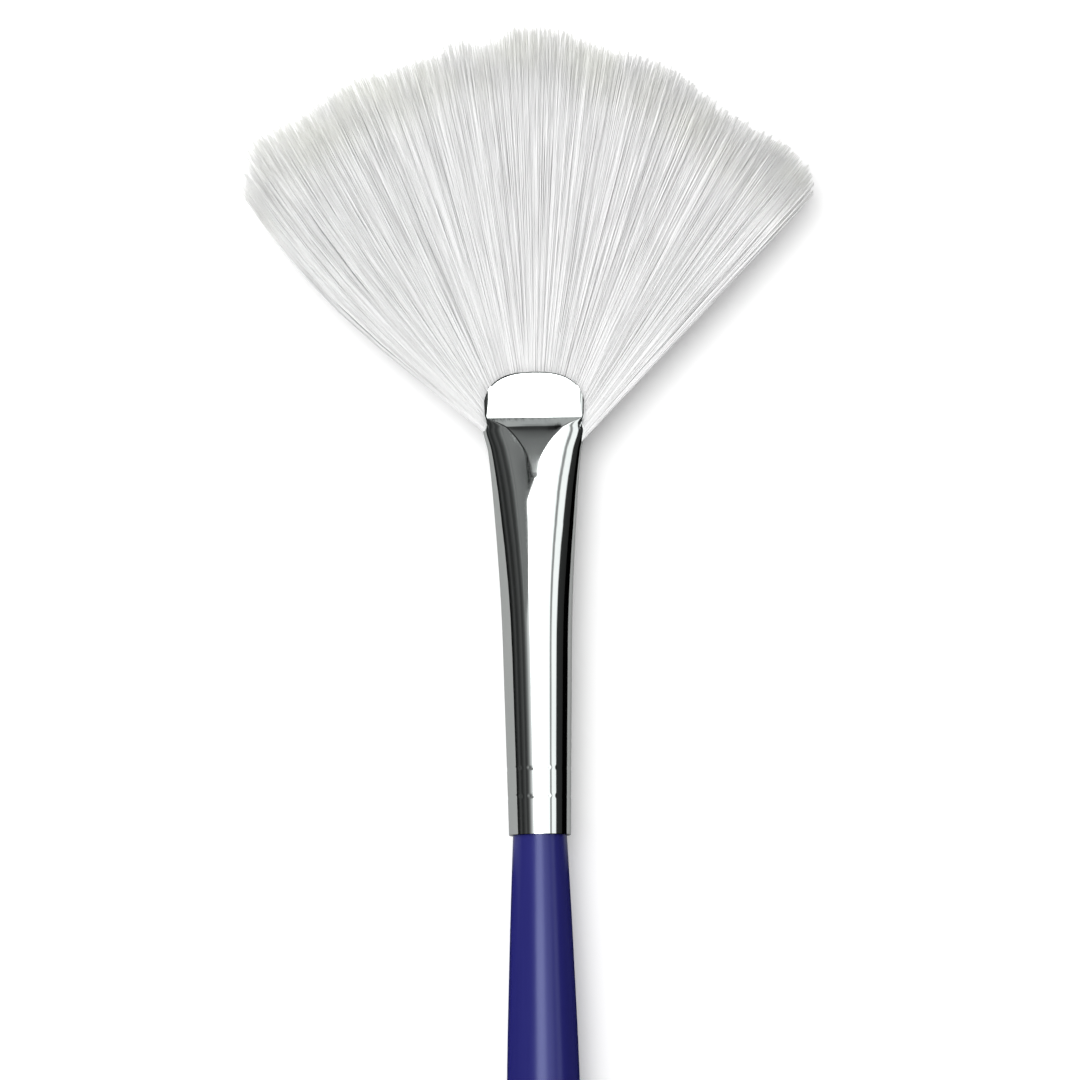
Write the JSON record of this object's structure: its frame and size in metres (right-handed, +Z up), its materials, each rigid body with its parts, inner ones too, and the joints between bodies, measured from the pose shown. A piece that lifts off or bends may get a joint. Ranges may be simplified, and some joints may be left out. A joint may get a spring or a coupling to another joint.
{
  "type": "paint brush",
  "caption": "Artist's fan brush with a flat spread of white synthetic filaments, a polished metal ferrule pressed flat at the mouth, and a long tapered lacquered handle.",
  "frame": {"origin": "on the ground, under the middle of the brush's bounding box; the brush lies on its back", "axes": "+Y along the brush towards the filament tips, +X across the fan, +Z up through the flat of the fan"},
  "size_m": [0.051, 0.3066, 0.0076],
  "materials": {
    "indigo_lacquer": "hardwood under smooth gloss indigo lacquer",
    "nickel_plate": "bright nickel-plated seamless brass tube",
    "amber_glue": "clear amber handle glue",
    "cured_epoxy": "hard brown ferrule epoxy",
    "glued_filament": "filament roots soaked in glue",
    "waxed_thread": "waxed winding thread",
    "white_filament": "white tapered nylon filament, slightly glossy along its length"
  },
  "bodies": {
    "brush": {"handle": "indigo_lacquer", "ferrule": "nickel_plate", "handle_adhesive": "amber_glue", "glue_plug": "cured_epoxy", "root_bundle": "glued_filament", "binding_thread": "waxed_thread", "tuft_base": "white_filament"},
    "tuft": {"filament_lock_01": "white_filament", "filament_lock_02": "white_filament", "filament_lock_03": "white_filament", "filament_lock_04": "white_filament", "filament_lock_05": "white_filament", "filament_lock_06": "white_filament", "filament_lock_07": "white_filament", "filament_lock_08": "white_filament", "filament_lock_09": "white_filament", "filament_lock_10": "white_filament", "filament_lock_11": "white_filament", "filament_lock_12": "white_filament", "filament_lock_13": "white_filament", "filament_lock_14": "white_filament", "filament_lock_15": "white_filament", "filament_lock_16": "white_filament", "filament_lock_17": "white_filament", "filament_lock_18": "white_filament", "filament_lock_19": "white_filament", "filament_lock_20": "white_filament", "filament_lock_21": "white_filament", "filament_lock_22": "white_filament", "filament_lock_23": "white_filament", "filament_lock_24": "white_filament"}
  },
  "joints": [
    {"name": "tuft_flex", "type": "hinge", "parent": "brush", "child": "tuft", "pos_m": [0, 0.12618, 0.0038], "axis": [1, 0, 0], "range_deg": [-6, 50], "stiffness_Nm_per_rad": 0.015}
  ]
}
